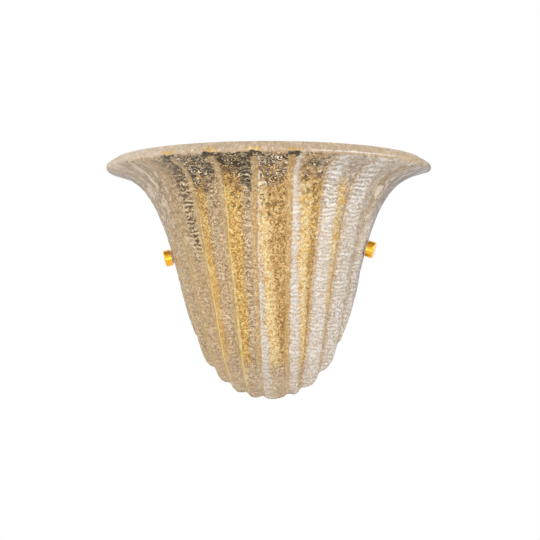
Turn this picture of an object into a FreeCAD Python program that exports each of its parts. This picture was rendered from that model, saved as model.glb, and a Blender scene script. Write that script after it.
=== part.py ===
"""A fluted half-trumpet wall light of thick glass, held by a thumbscrew each side.

Millimetres. X runs to the light's right hand side as seen by someone facing it, -Y out of the
wall and +Z up. The origin is on the wall, on the plate's back face, halfway up the glass.
"""
import FreeCAD, Part
import math
import os
from FreeCAD import Placement, Rotation, Vector

SIZES = {
    # glass: its greatest radius, and the height of each section
    "glass_radius": 164.5,
    "tail_height": -141.0, "toe_height": -128.5, "heel_height": -118.0,
    "ankle_height": -105.0, "calf_height": -87.4, "hip_height": -61.7,
    "waist_height": -30.8, "middle_height": 0.0, "chest_height": 30.8,
    "shoulder_height": 61.7, "neck_height": 77.0, "bell_height": 87.4,
    "flare_height": 94.0, "lip_height": 98.0, "edge_height": 101.5,
    "rim_height": 110.0,
    "glass_wall": 6.0,
    "rim_wall": 5.0,
    "flute_depth": 3.4,
    "groove_width": 6.5,
    "wall_gap": 2.0,
    # thumbscrews and what they clamp
    "left_screw_height": 13.4,
    "right_screw_height": 21.8,
    "glass_hole": 7.0,
    "ground_flat": 18.5,
    "flat_depth": 0.5,
    "knob_diameter": 17.0,
    "knob_thickness": 7.5,
    "knob_rounding": 1.4,
    "screw_diameter": 5.0,
    "screw_in_knob": 5.0,
    "screw_past_nut": 2.4,
    "washer_diameter": 13.5,
    "washer_thickness": 1.0,
    "pad_diameter": 14.0,
    "pad_thickness": 2.0,
    "nut_flats": 8.0,
    "nut_thickness": 4.0,
    "seat_clearance": 0.3,
    "running_clearance": 0.05,
    "free_clearance": 0.3,
    # strap brackets
    "strap_width": 18.0,
    "strap_thickness": 2.0,
    "strap_bend": 2.0,
    "foot_length": 34.0,
    "rivet_diameter": 3.2,
    "rivet_head": 6.0,
    "rivet_head_height": 1.6,
    # wall plate
    "plate_thickness": 1.5,
    "plate_top": 92.0,
    "plate_waist": -31.0,
    "plate_bottom": -103.0,
    "plate_top_width": 168.0,
    "plate_waist_width": 134.0,
    "plate_bottom_width": 92.0,
    "plate_corner": 8.0,
    "wall_hole_spacing": 60.0,
    "wall_hole_height": 62.0,
    "wall_hole_diameter": 5.5,
    "cable_hole_height": 22.0,
    "grommet_outer": 14.0,
    "grommet_bore": 8.0,
    "grommet_flange": 18.0,
    "grommet_flange_thickness": 2.0,
    # lamp shelf
    "shelf_height": -62.0,
    "shelf_end": 14.0,
    "shelf_reach": 41.0,
    "shelf_thickness": 2.0,
    "shelf_corner": 13.0,
    "riser_width": 40.0,
    "riser_height": 20.0,
    "shelf_rivet_spacing": 24.0,
    # lamp holders and lamps
    "lamp_spacing": 56.0,
    "lamp_from_wall": 28.0,
    "holder_diameter": 24.0,
    "holder_base": 14.0,
    "sleeve_outer": 15.4,
    "sleeve_height": 19.0,
    "sleeve_lift": 3.0,
    "tongue_diameter": 6.0,
    "tongue_thickness": 1.0,
    "nipple_diameter": 10.0,
    "nipple_bore": 7.0,
    "nipple_into_holder": 6.0,
    "nipple_below_shelf": 8.0,
    "nipple_nut_flats": 13.0,
    "nipple_nut_thickness": 3.0,
    "cap_diameter": 14.0,
    "cap_length": 23.0,
    "button_diameter": 4.8,
    "button_thickness": 2.0,
    "lamp_length": 78.0,
    "lamp_diameter": 45.0,
    "lamp_neck": 24.0,
    # terminal block, earth point and leads
    "block_width": 26.0,
    "block_depth": 14.0,
    "block_height": 18.0,
    "block_bottom": -38.0,
    "pole_pitch": 8.0,
    "clamp_outer": 5.0,
    "clamp_bore": 3.2,
    "clamp_length": 15.0,
    "clamp_screw": 3.0,
    "clamp_screw_spacing": 8.0,
    "earth_height": 48.0,
    "earth_screw": 4.0,
    "earth_head": 7.5,
    "earth_head_height": 2.6,
    "tag_thickness": 0.8,
    "tag_diameter": 9.0,
    "tag_barrel": 3.4,
    "lead_diameter": 2.2,
    "lead_hole": 2.6,
    "lead_reach": 6.0,
}
# each section of the glass: its radius, and how far behind the wall its centre lies, both as
# shares of the greatest radius
SECTIONS = {
    "tail": (0.3708, 0.4195),
    "toe": (0.3812, 0.3374),
    "heel": (0.3970, 0.2845),
    "ankle": (0.4249, 0.2377),
    "calf": (0.4596, 0.1781),
    "hip": (0.4997, 0.1252),
    "waist": (0.5435, 0.0815),
    "middle": (0.5812, 0.0310),
    "chest": (0.6310, 0.0188),
    "shoulder": (0.7033, 0.0061),
    "neck": (0.7599, 0.0000),
    "bell": (0.8237, 0.0000),
    "flare": (0.9058, 0.0000),
    "lip": (0.9787, 0.0000),
    "edge": (1.0000, 0.0000),
    "rim": (0.9392, 0.0000),
}
LAST_BODY_SECTION = "flare"
# how much of the flutes' depth is left where they run out under the lip
FLUTE_FADE = {"bell": 0.9, "flare": 0.6, "lip": 0.0, "edge": 0.0, "rim": 0.0}
# each groove's angle in degrees, 0 straight out of the wall: at the foot, the middle and the head;
# the glass was drawn by hand, so the lobes differ, and the flare spread those at the sides
GROOVES = (
    (-108, -108, -108), (-90, -90, -90), (-72, -69, -61), (-56, -51.5, -42), (-39.6, -34.3, -26),
    (-22.4, -17.8, -12.4), (-5.5, -1.8, 1.7), (19.8, 17, 13.7), (33.9, 32.7, 27.9),
    (52.9, 48.8, 42.7), (70, 68, 61), (90, 90, 90), (108, 108, 108),
)
GROOVE_LEVELS = ("heel", "middle", "lip")
SCREW_ANGLE = 81.0  # the lobe at each side that carries a thumbscrew
# a holder's socket is as deep as its lamp's cap needs
SOCKET_DEPTH = ("Sizes.tongue_thickness + Sizes.button_thickness + Sizes.cap_length"
                " + 2 * Sizes.seat_clearance - Sizes.free_clearance")
SHELF_WIDTH = "Sizes.lamp_spacing + 2 * Sizes.shelf_end"
LEFT, RIGHT = -1, 1
SIDES = {"left": LEFT, "right": RIGHT}
UP = Vector(0, 0, 1)
OUT_OF_WALL = Vector(0, -1, 0)

doc = FreeCAD.newDocument("wall_light")
sheet = doc.addObject("Spreadsheet::Sheet", "Sizes")
parts = []


def fill_sheet():
    shares = {}
    for name, (radius, setback) in SECTIONS.items():
        shares[name + "_radius_share"] = radius
        shares[name + "_setback_share"] = setback
    for row, (name, value) in enumerate((SIZES | shares).items(), start=1):
        sheet.set(f"A{row}", name)
        sheet.set(f"B{row}", str(value))
        sheet.setAlias(f"B{row}", name)
    doc.recompute()


def size(name):
    return float(sheet.get(name))


def bind(obj, **expressions):
    """Tie properties of an object to cells of the sheet."""
    for name, expression in expressions.items():
        obj.setExpression(name, expression)


def keep(obj, label):
    obj.Label = label
    parts.append(obj)
    return obj


def cylinder(name, diameter, length, base="0"):
    """A cylinder on the local Z axis; base is the height that it starts from."""
    obj = doc.addObject("Part::Cylinder", name)
    bind(obj, Radius=f"({diameter}) / 2", Height=length)
    obj.setExpression(".Placement.Base.z", base)
    return obj


def hexagon(name, flats, length):
    obj = doc.addObject("Part::Prism", name)
    obj.Polygon = 6
    bind(obj, Circumradius=f"({flats}) / 2 / cos(30)", Height=length)
    return obj


def box(name, width, depth, height, corner):
    """A box centred on X, whose near lower corner starts at (y, z)."""
    obj = doc.addObject("Part::Box", name)
    bind(obj, Length=width, Width=depth, Height=height)
    obj.setExpression(".Placement.Base.x", f"-({width}) / 2")
    obj.setExpression(".Placement.Base.y", corner[0])
    obj.setExpression(".Placement.Base.z", corner[1])
    return obj


def cut(name, base, *tools):
    tool = tools[0] if len(tools) == 1 else fuse(name + "_tools", *tools)
    obj = doc.addObject("Part::Cut", name)
    obj.Base = base
    obj.Tool = tool
    return obj


def fuse(name, *pieces):
    obj = doc.addObject("Part::MultiFuse", name)
    obj.Shapes = list(pieces)
    return obj


def group(name, shapes):
    """Separate solids that share one name, such as a set of rivets."""
    obj = doc.addObject("Part::Feature", name)
    obj.Shape = Part.makeCompound(shapes)
    return obj


def feature(name, shape):
    obj = doc.addObject("Part::Feature", name)
    obj.Shape = shape
    return obj


def rod(diameter, start, direction, length):
    return Part.makeCylinder(diameter / 2, length, start, direction)


# ---------------------------------------------------------------- the glass

def section_sizes(name):
    """A section's height and radius, and how far behind the wall its centre lies."""
    greatest = size("glass_radius")
    radius, setback = size(name + "_radius_share"), size(name + "_setback_share")
    return size(name + "_height"), greatest * radius, greatest * setback


def on_section(radius, setback, height, degrees):
    """A point of a section; 0 degrees faces straight out of the wall."""
    turn = math.radians(degrees)
    return Vector(radius * math.sin(turn), setback - radius * math.cos(turn), height)


def groove_angle(groove, height):
    """The angle of a groove at any height, along two curves that meet at the middle."""
    at_foot, at_middle, at_head = groove
    foot, middle, head = (size(name + "_height") for name in GROOVE_LEVELS)
    end, target = (foot, at_foot) if height < middle else (head, at_head)
    share = min(1, (height - middle) / (end - middle))
    return at_middle + (target - at_middle) * share ** 2


def fluted_wire(name):
    """Lobes between narrow grooves, closed by a chord behind the wall."""
    height, radius, setback = section_sizes(name)
    depth = size("flute_depth") * FLUTE_FADE.get(name, 1.0)
    half_groove = math.degrees(size("groove_width") / 2 / radius)

    def point(r, degrees):
        return on_section(r, setback, height, degrees)

    edges = []
    middles = [groove_angle(groove, height) for groove in GROOVES]
    for middle, following in zip(middles, middles[1:] + [None]):
        start = point(radius - depth / 2, middle - half_groove)
        end = point(radius - depth / 2, middle + half_groove)
        edges.append(Part.Arc(start, point(radius - depth, middle), end).toShape())
        if following is not None:
            crest = point(radius, (middle + following) / 2)
            lobe_end = point(radius - depth / 2, following - half_groove)
            edges.append(Part.Arc(end, crest, lobe_end).toShape())
    first = edges[0].Vertexes[0].Point
    last = edges[-1].Vertexes[-1].Point
    edges.append(Part.makeLine(last, first))
    return Part.Wire(edges)


def outer_glass():
    return Part.makeLoft([fluted_wire(name) for name in SECTIONS], True, False)


def plain_wire(radius, setback, height):
    reach = GROOVES[-1][-1]
    start, front, end = (on_section(radius, setback, height, a) for a in (-reach, 0, reach))
    return Part.Wire([Part.Arc(start, front, end).toShape(), Part.makeLine(end, start)])


def inner_glass():
    """The outer profile moved in by the wall's thickness, opening at the rim."""
    wall = size("glass_wall")
    wires = []
    names = list(SECTIONS)
    for below, name, above in zip(names, names[1:], names[2:]):
        height, radius, setback = section_sizes(name)
        low, low_radius, _ = section_sizes(below)
        high, high_radius, _ = section_sizes(above)
        slope = math.atan2(high_radius - low_radius, high - low)
        inside = radius - wall * math.cos(slope)
        wires.append(plain_wire(inside, setback, height + wall * math.sin(slope)))
        if name == LAST_BODY_SECTION:
            break
    height, radius, setback = section_sizes(names[-1])
    wires.append(plain_wire(radius - size("rim_wall"), setback, height))
    return Part.makeLoft(wires, True, False)


def between_sections(height, column):
    """A section's size at any height, in proportion between its neighbours."""
    rows = [section_sizes(name) for name in SECTIONS]
    for low, high in zip(rows, rows[1:]):
        if low[0] <= height <= high[0]:
            share = (height - low[0]) / (high[0] - low[0])
            return low[column] + share * (high[column] - low[column])
    raise ValueError("height is off the glass")


class Seat:
    """Where a thumbscrew meets the glass: a point on the surface and the way out of it."""

    def __init__(self, outer, side, height):
        self.side = side
        self.angle = SCREW_ANGLE
        step = size("knob_diameter") / 4
        self.point = self.surface(outer, height)
        above = self.surface(outer, height + step)
        below = self.surface(outer, height - step)
        rise = above.z - below.z
        spread = math.hypot(above.x, above.y) - math.hypot(below.x, below.y)
        self.droop = math.degrees(math.atan2(spread, rise))
        self.forward = 90 - self.angle
        self.axis = self.turned(Vector(
            math.cos(math.radians(self.forward)), -math.sin(math.radians(self.forward)), 0))

    def surface(self, outer, height):
        setback = between_sections(height, 2)
        far = 2 * size("glass_radius")
        middle = Vector(0, setback, height)
        ray = Part.makeLine(middle, on_section(far, setback, height, self.side * self.angle))
        hits = outer.common(ray).Vertexes
        return max((v.Point for v in hits), key=lambda p: (p - middle).Length)

    def turned(self, local):
        """A direction of the seat's own upright frame, mirrored and drooped."""
        lean = Rotation(Vector(0, 1, 0), self.side * self.droop)
        return lean.multVec(Vector(self.side * local.x, local.y, local.z))

    def at(self, distance):
        """A placement on the screw's axis, with its Z axis pointing out of the glass."""
        return Placement(self.point + self.axis * distance, Rotation(UP, self.axis))

    def bore(self, diameter, start, length):
        base = self.point + self.axis * start
        return rod(diameter, base, self.axis, length)


def seat_levels():
    """Distances along a thumbscrew's axis from the glass surface, outwards positive."""
    outside = -size("flat_depth")
    inside = -size("glass_wall") + size("flat_depth")
    strap_face = inside - size("pad_thickness")
    strap_back = strap_face - size("strap_thickness")
    nut_end = strap_back - size("nut_thickness")
    washer = outside + size("seat_clearance")
    knob = washer + size("washer_thickness") + size("seat_clearance")
    return {
        "outside": outside, "inside": inside, "strap_face": strap_face, "strap_back": strap_back,
        "nut_end": nut_end, "washer": washer, "knob": knob,
        "screw_end": nut_end - size("screw_past_nut"),
    }


def glass_shade(outer, seats, levels):
    reach = 3 * size("glass_radius")
    front = Part.makeBox(
        2 * reach, reach, 2 * reach, Vector(-reach, -reach - size("wall_gap"), -reach))
    shell = outer.cut(inner_glass()).common(front)
    for seat in seats.values():
        wall = size("glass_wall")
        flat = size("ground_flat")
        shell = shell.cut(seat.bore(size("glass_hole"), -2 * wall, 4 * wall))
        shell = shell.cut(seat.bore(flat, levels["outside"], wall))
        shell = shell.cut(seat.bore(flat, levels["inside"] - wall, wall))
    keep(feature("glass", shell.Solids[0]), "glass_shade")


# ------------------------------------------------- thumbscrews and brackets

def knob(name, seat, levels):
    blank = cylinder(name + "_blank", "Sizes.knob_diameter", "Sizes.knob_thickness")
    doc.recompute()
    rounded = doc.addObject("Part::Fillet", name + "_rounded")
    rounded.Base = blank
    rounding = min(size("knob_rounding"), size("knob_thickness") / 3)
    rounded.Edges = [(1, rounding, rounding), (3, rounding, rounding)]
    socket = cylinder(name + "_socket", "Sizes.screw_diameter", "Sizes.screw_in_knob")
    obj = cut(name + "_knob", rounded, socket)
    obj.Placement = seat.at(levels["knob"])
    keep(obj, name + "_knob")


def screw(name, seat, levels):
    obj = doc.addObject("Part::Cylinder", name + "_screw")
    bind(obj, Radius="Sizes.screw_diameter / 2")
    obj.Height = levels["knob"] + size("screw_in_knob") - levels["screw_end"]
    obj.Placement = seat.at(levels["screw_end"])
    keep(obj, name + "_screw")


def ring(name, outer, bore, length, placement):
    """A washer, tube or pad: a round piece with a round hole along its axis."""
    body = cylinder(name + "_body", outer, length)
    hole = cylinder(name + "_hole", bore, length)
    obj = cut(name, body, hole)
    obj.Placement = placement
    return keep(obj, name)


def nut(name, flats, bore, length, placement):
    body = hexagon(name + "_body", flats, length)
    hole = cylinder(name + "_hole", bore, length)
    obj = cut(name, body, hole)
    obj.Placement = placement
    return keep(obj, name)


class Strap:
    """A bent strap from the plate to the glass, leaning as the glass does at its screw."""

    def __init__(self, seat, levels):
        self.seat = seat
        self.levels = levels
        forward = math.radians(seat.forward)
        self.out = Vector(math.cos(forward), -math.sin(forward), 0)
        self.back = Vector(math.sin(forward), math.cos(forward), 0)
        self.foot_back = -size("plate_thickness") - seat.point.y
        self.foot_front = self.foot_back - size("strap_thickness")
        self.outer_corner = self.corner(levels["strap_face"], self.foot_back)
        self.inner_corner = self.corner(levels["strap_back"], self.foot_front)
        self.foot_end = self.outer_corner.x - size("foot_length")

    def corner(self, level, y):
        along = (y - level * self.out.y) / self.back.y
        return self.out * level + self.back * along

    def profile(self):
        tip = self.back * (-size("strap_width") / 2)
        return [
            self.out * self.levels["strap_face"] + tip, self.outer_corner,
            Vector(self.foot_end, self.foot_back, 0), Vector(self.foot_end, self.foot_front, 0),
            self.inner_corner, self.out * self.levels["strap_back"] + tip,
        ]

    def rivets(self):
        """The two rivet axes, on the plate's front face."""
        width = size("strap_width")
        spots = (self.foot_end + width * 0.35, self.foot_end + width * 0.9)
        return [self.to_world(Vector(x, self.foot_back, 0)) for x in spots]

    def to_world(self, local):
        return self.seat.point + self.seat.turned(local)

    def solid(self):
        half = size("strap_width") / 2
        corners = [self.to_world(p - UP * half) for p in self.profile()]
        face = Part.Face(Part.makePolygon(corners + corners[:1]))
        block = face.extrude(self.seat.turned(UP * 2 * half))
        bend = size("strap_bend")
        block = self.rounded(block, self.outer_corner, bend + size("strap_thickness"))
        block = self.rounded(block, self.inner_corner, bend)
        hole = size("screw_diameter") + 2 * size("free_clearance")
        block = block.cut(self.seat.bore(hole, self.levels["nut_end"], size("glass_wall") * 3))
        for spot in self.rivets():
            block = block.cut(rivet_shank(spot))
        return block

    def rounded(self, block, corner, radius):
        middle = self.to_world(corner)
        edge = min(block.Edges, key=lambda e: (e.CenterOfMass - middle).Length)
        return block.makeFillet(radius, [edge])


def rivet_shank(spot):
    """A rivet's shank from the wall through the plate and the strap, at a spot on the plate."""
    start = Vector(spot.x, 0, spot.z)
    through = size("plate_thickness") + size("strap_thickness")
    return rod(size("rivet_diameter"), start, OUT_OF_WALL, through)


def rivet(spot):
    """A shank with a round head that stands on the strap."""
    front = -size("plate_thickness") - size("strap_thickness")
    rise = size("rivet_head_height")
    half = size("rivet_head") / 2
    ball = (half ** 2 + rise ** 2) / (2 * rise)
    dome = Part.makeSphere(ball, Vector(spot.x, front - rise + ball, spot.z))
    keeper = rod(size("rivet_head") * 2, Vector(spot.x, front, spot.z), OUT_OF_WALL, 2 * ball)
    return rivet_shank(spot).fuse(dome.common(keeper)).removeSplitter()


def fastening(name, seat, levels):
    """Everything on one thumbscrew's axis, with its bracket."""
    knob(name, seat, levels)
    screw(name, seat, levels)
    ring(name + "_washer", "Sizes.washer_diameter",
         "Sizes.screw_diameter + 2 * Sizes.running_clearance", "Sizes.washer_thickness",
         seat.at(levels["washer"]))
    ring(name + "_pad", "Sizes.pad_diameter", "Sizes.screw_diameter + 2 * Sizes.free_clearance",
         "Sizes.pad_thickness", seat.at(levels["strap_face"]))
    nut(name + "_nut", "Sizes.nut_flats", "Sizes.screw_diameter + 2 * Sizes.running_clearance",
        "Sizes.nut_thickness", seat.at(levels["nut_end"]))
    strap = Strap(seat, levels)
    keep(feature(name + "_strap", strap.solid()), name + "_bracket")
    keep(group(name + "_rivet_pair", [rivet(s) for s in strap.rivets()]), name + "_rivets")
    return strap.rivets()


# ---------------------------------------------------------------- the plate

def sketch_outline(body, name, plane, corners):
    """A closed outline whose every corner is tied to the sheet by two expressions."""
    import Sketcher
    sketch = body.newObject("Sketcher::SketchObject", name)
    planes = body.Origin.OriginFeatures
    sketch.AttachmentSupport = [(next(p for p in planes if p.Role == plane), "")]
    sketch.MapMode = "FlatFace"
    count = len(corners)
    rough = [Vector(math.cos(2 * math.pi * i / count), math.sin(2 * math.pi * i / count), 0)
             for i in range(count)]
    for i in range(count):
        sketch.addGeometry(Part.LineSegment(rough[i], rough[(i + 1) % count]), False)
    for i in range(count):
        sketch.addConstraint(Sketcher.Constraint("Coincident", i, 2, (i + 1) % count, 1))
    for i, (across, up) in enumerate(corners):
        for kind, expression in (("DistanceX", across), ("DistanceY", up)):
            index = sketch.addConstraint(Sketcher.Constraint(kind, -1, 1, i, 1, 1.0))
            sketch.setExpression(f"Constraints[{index}]", expression)
    return sketch


def plate_blank():
    """The tapered sheet, drawn on the wall and thickened out of it."""
    body = doc.addObject("PartDesign::Body", "plate_blank")
    half = "Sizes.plate_{}_width / 2"
    rows = ("top", "waist", "bottom")
    heights = {"top": "Sizes.plate_top", "waist": "Sizes.plate_waist",
               "bottom": "Sizes.plate_bottom"}
    right = [(half.format(row), heights[row]) for row in rows]
    left = [("-" + half.format(row), heights[row]) for row in reversed(rows)]
    sketch = sketch_outline(body, "plate_outline", "XZ_Plane", right + left)
    pad = body.newObject("PartDesign::Pad", "plate_sheet")
    pad.Profile = sketch
    bind(pad, Length="Sizes.plate_thickness")
    doc.recompute()
    if body.Shape.BoundBox.YMax > size("plate_thickness") / 2:
        pad.Reversed = True
        doc.recompute()
    corner = body.newObject("PartDesign::Fillet", "plate_corners")
    upright = [f"Edge{i}" for i, e in enumerate(pad.Shape.Edges, 1) if is_corner(e)]
    corner.Base = (pad, upright)
    bind(corner, Radius="Sizes.plate_corner")
    body.Tip = corner
    return body


def is_corner(edge):
    """Is this one of the plate's four outer corners?"""
    box_ = edge.BoundBox
    through = box_.YLength > 0 and box_.XLength + box_.ZLength < 1e-6
    return through and abs(box_.ZMin - size("plate_waist")) > 1e-6


def wall_plate(rivet_spots):
    through = size("plate_thickness")
    tools = [rod(size("rivet_diameter"), Vector(s.x, 0, s.z), OUT_OF_WALL, through)
             for s in rivet_spots]
    for side in SIDES.values():
        spot = Vector(side * size("wall_hole_spacing") / 2, 0, size("wall_hole_height"))
        tools.append(rod(size("wall_hole_diameter"), spot, OUT_OF_WALL, through))
    entry = Vector(0, 0, size("cable_hole_height"))
    tools.append(rod(size("grommet_outer"), entry, OUT_OF_WALL, through))
    earth = size("earth_screw") + 2 * size("running_clearance")
    tools.append(rod(earth, Vector(0, 0, size("earth_height")), OUT_OF_WALL, through))
    obj = cut("plate", plate_blank(), group("plate_holes", tools))
    keep(obj, "wall_plate")


def outward(x, y, z):
    """A placement whose Z axis points out of the wall."""
    return Placement(Vector(x, y, z), Rotation(UP, OUT_OF_WALL))


def grommet():
    sheet_part = cylinder("grommet_neck", "Sizes.grommet_outer", "Sizes.plate_thickness")
    flange = cylinder("grommet_rim", "Sizes.grommet_flange", "Sizes.grommet_flange_thickness",
                      "Sizes.plate_thickness")
    hole = cylinder("grommet_hole", "Sizes.grommet_bore",
                    "Sizes.plate_thickness + Sizes.grommet_flange_thickness")
    obj = cut("grommet", fuse("grommet_body", sheet_part, flange), hole)
    obj.Placement = outward(0, 0, size("cable_hole_height"))
    keep(obj, "cable_grommet")


def lamp_shelf(rivet_spots):
    tread = box("shelf_tread", SHELF_WIDTH, "Sizes.shelf_reach", "Sizes.shelf_thickness",
                ("-Sizes.plate_thickness - Sizes.shelf_reach",
                 "Sizes.shelf_height - Sizes.shelf_thickness"))
    riser = box("shelf_riser", "Sizes.riser_width", "Sizes.strap_thickness", "Sizes.riser_height",
                ("-Sizes.plate_thickness - Sizes.strap_thickness", "Sizes.shelf_height"))
    doc.recompute()
    rounded = doc.addObject("Part::Fillet", "shelf_rounded")
    rounded.Base = tread
    front = -size("plate_thickness") - size("shelf_reach")
    corner = size("shelf_corner")
    rounded.Edges = [
        (i, corner, corner) for i, edge in enumerate(tread.Shape.Edges, 1)
        if edge.BoundBox.ZLength > 0 and edge.BoundBox.XLength + edge.BoundBox.YLength < 1e-6
        and abs(edge.BoundBox.YMin - front) < 1e-6]
    tools = [rivet_shank(s) for s in rivet_spots]
    for side in SIDES.values():
        spot = lamp_axis(side, size("shelf_height") - size("shelf_thickness"))
        hole = size("nipple_diameter") + 2 * size("running_clearance")
        tools.append(rod(hole, spot, UP, size("shelf_thickness")))
    obj = cut("shelf", fuse("shelf_body", rounded, riser), group("shelf_holes", tools))
    keep(obj, "lamp_shelf")
    keep(group("shelf_rivet_pair", [rivet(s) for s in rivet_spots]), "shelf_rivets")


def shelf_rivet_spots():
    height = size("shelf_height") + size("riser_height") / 2
    return [Vector(side * size("shelf_rivet_spacing") / 2, 0, height) for side in SIDES.values()]


# -------------------------------------------------------- holders and lamps

def lamp_axis(side, height):
    return Vector(side * size("lamp_spacing") / 2, -size("lamp_from_wall"), height)


def standing(side, height):
    return Placement(lamp_axis(side, height), Rotation())


def holder_body(name, side):
    shell = cylinder(name + "_holder_shell", "Sizes.holder_diameter",
                     f"Sizes.holder_base + {SOCKET_DEPTH}")
    socket = cylinder(name + "_holder_socket", "Sizes.sleeve_outer", SOCKET_DEPTH,
                      "Sizes.holder_base")
    foot = cylinder(name + "_holder_foot", "Sizes.nipple_diameter + 2 * Sizes.running_clearance",
                    "Sizes.nipple_into_holder")
    entries = group(name + "_lead_entries", [
        lead_entry(start, direction) for start, direction in lead_entries(side)])
    obj = cut(name + "_holder", shell, socket, foot, entries)
    obj.Placement = standing(side, size("shelf_height"))
    keep(obj, name + "_holder")


def lead_entries(side):
    """Where leads enter a holder's base, in its own frame: from the plate and from its twin."""
    level = lead_level() - size("shelf_height")
    half = size("holder_diameter") / 2
    offset = size("lead_diameter") * 1.4
    return [
        (Vector(0, half, level), Vector(0, -1, 0)),
        (Vector(-side * half, offset, level), Vector(side, 0, 0)),
        (Vector(-side * half, -offset, level), Vector(side, 0, 0)),
    ]


def lead_level():
    return size("shelf_height") + size("nipple_into_holder") + size("lead_hole")


def lead_entry(start, direction):
    return rod(size("lead_hole"), start, direction, size("lead_reach"))


def holder(name, side):
    holder_body(name, side)
    floor = size("shelf_height") + size("holder_base")
    ring(name + "_sleeve", "Sizes.sleeve_outer", "Sizes.cap_diameter + 4 * Sizes.running_clearance",
         "Sizes.sleeve_height", standing(side, floor + size("sleeve_lift")))
    tongue = cylinder(name + "_tongue", "Sizes.tongue_diameter", "Sizes.tongue_thickness")
    tongue.Placement = standing(side, floor)
    tongue.setExpression(".Placement.Base.z", "Sizes.shelf_height + Sizes.holder_base")
    keep(tongue, name + "_tongue")
    below = size("shelf_height") - size("shelf_thickness")
    ring(name + "_nipple", "Sizes.nipple_diameter", "Sizes.nipple_bore",
         "Sizes.nipple_into_holder + Sizes.shelf_thickness + Sizes.nipple_below_shelf",
         standing(side, below - size("nipple_below_shelf")))
    nut(name + "_nipple_nut", "Sizes.nipple_nut_flats",
        "Sizes.nipple_diameter + 2 * Sizes.running_clearance", "Sizes.nipple_nut_thickness",
        standing(side, below - size("nipple_nut_thickness")))


def lamp_bottom():
    """Where a lamp's button starts, just above the tongue."""
    tongue = size("holder_base") + size("tongue_thickness")
    return size("shelf_height") + tongue + size("seat_clearance")


def lamp(name, side):
    button = cylinder(name + "_button", "Sizes.button_diameter", "Sizes.button_thickness")
    button.Placement = standing(side, lamp_bottom())
    button.setExpression(".Placement.Base.z", None)
    keep(button, name + "_lamp_button")
    cap = cylinder(name + "_cap", "Sizes.cap_diameter", "Sizes.cap_length")
    cap_bottom = lamp_bottom() + size("button_thickness") + size("seat_clearance")
    cap.setExpression(".Placement.Base.z", None)
    cap.Placement = standing(side, cap_bottom)
    keep(cap, name + "_lamp_cap")
    lamp_glass(name, side, cap_bottom + size("cap_length"))


def lamp_glass(name, side, start):
    """A ball on a tapering neck."""
    top = lamp_bottom() + size("lamp_length")
    radius = size("lamp_diameter") / 2
    neck = radius * 0.8
    centre = top - radius
    level = centre - math.sqrt(radius ** 2 - neck ** 2)
    stem = doc.addObject("Part::Cone", name + "_stem")
    bind(stem, Radius1="Sizes.lamp_neck / 2")
    stem.Radius2 = neck
    stem.Height = level - start
    ball = doc.addObject("Part::Sphere", name + "_ball")
    bind(ball, Radius="Sizes.lamp_diameter / 2")
    ball.Placement = Placement(Vector(0, 0, centre - start), Rotation())
    obj = fuse(name + "_lamp_glass", stem, ball)
    obj.Placement = standing(side, start)
    keep(obj, name + "_lamp_glass")


# ------------------------------------------------ terminal block and leads

def pole(index):
    """The axis of one pole of the terminal block, at the block's foot."""
    depth = size("plate_thickness") + size("block_depth") / 2
    return Vector(index * size("pole_pitch"), -depth, size("block_bottom"))


def clamp_screw_spots():
    middle = size("block_bottom") + size("block_height") / 2
    rise = size("clamp_screw_spacing") / 2
    front = -size("plate_thickness") - size("block_depth")
    return [Vector(pole(i).x, front, middle + s * rise) for i in (-1, 0, 1) for s in (-1, 1)]


def terminal_block():
    body = box("block_body", "Sizes.block_width", "Sizes.block_depth", "Sizes.block_height",
               ("-Sizes.plate_thickness - Sizes.block_depth", "Sizes.block_bottom"))
    outer, bore, length = size("clamp_outer"), size("clamp_bore"), size("clamp_length")
    lift = UP * ((size("block_height") - length) / 2)
    poles = [pole(i) for i in (-1, 0, 1)]
    wells = [rod(outer, p, UP, size("block_height")) for p in poles]
    inward = Vector(0, 1, 0)
    deep = size("block_depth") / 2 - bore / 2
    screws = [rod(size("clamp_screw"), s, inward, deep) for s in clamp_screw_spots()]
    keep(cut("block", body, group("block_wells", wells + screws)), "terminal_block")
    clamps = []
    for p in poles:
        tube = rod(outer, p + lift, UP, length).cut(rod(bore, p + lift, UP, length))
        for s in screws:
            tube = tube.cut(s)
        clamps.append(tube)
    keep(group("clamps", clamps), "terminal_clamps")
    keep(group("clamp_screws", [slotted(s) for s in screws]), "terminal_screws")


def slotted(screw_body):
    """A screw with a screwdriver slot across its outer end."""
    bounds = screw_body.BoundBox
    slot = size("clamp_screw") / 4
    width = 2 * bounds.XLength
    cutter = Part.makeBox(width, slot, slot, Vector(
        bounds.Center.x - width / 2, bounds.YMin, bounds.Center.z - slot / 2))
    return screw_body.cut(cutter)


def earth_point():
    """A screw through the plate that holds a ring tag with a crimped barrel."""
    front = -size("plate_thickness")
    height = size("earth_height")
    tag_face = front - size("tag_thickness")
    shank = rod(size("earth_screw"), Vector(0, 0, height), OUT_OF_WALL, -tag_face)
    head = rod(size("earth_head"), Vector(0, tag_face, height), OUT_OF_WALL,
               size("earth_head_height"))
    keep(feature("earth", shank.fuse(head).removeSplitter()), "earth_screw")
    disc = rod(size("tag_diameter"), Vector(0, front, height), OUT_OF_WALL, size("tag_thickness"))
    start = barrel_start()
    barrel = rod(size("tag_barrel"), start, Vector(1, 0, 0), size("lead_reach"))
    reach = start.x + size("lead_reach") / 2
    neck = Part.makeBox(reach, size("tag_thickness"), size("tag_barrel"),
                        Vector(0, tag_face, height - size("tag_barrel") / 2))
    tag = disc.fuse([neck, barrel]).cut(rod(
        size("lead_diameter"), start, Vector(1, 0, 0), size("lead_reach")))
    tag = tag.cut(rod(size("earth_screw"), Vector(0, 0, height), OUT_OF_WALL, -tag_face))
    keep(feature("tag", tag.removeSplitter().Solids[0]), "earth_tag")


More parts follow.
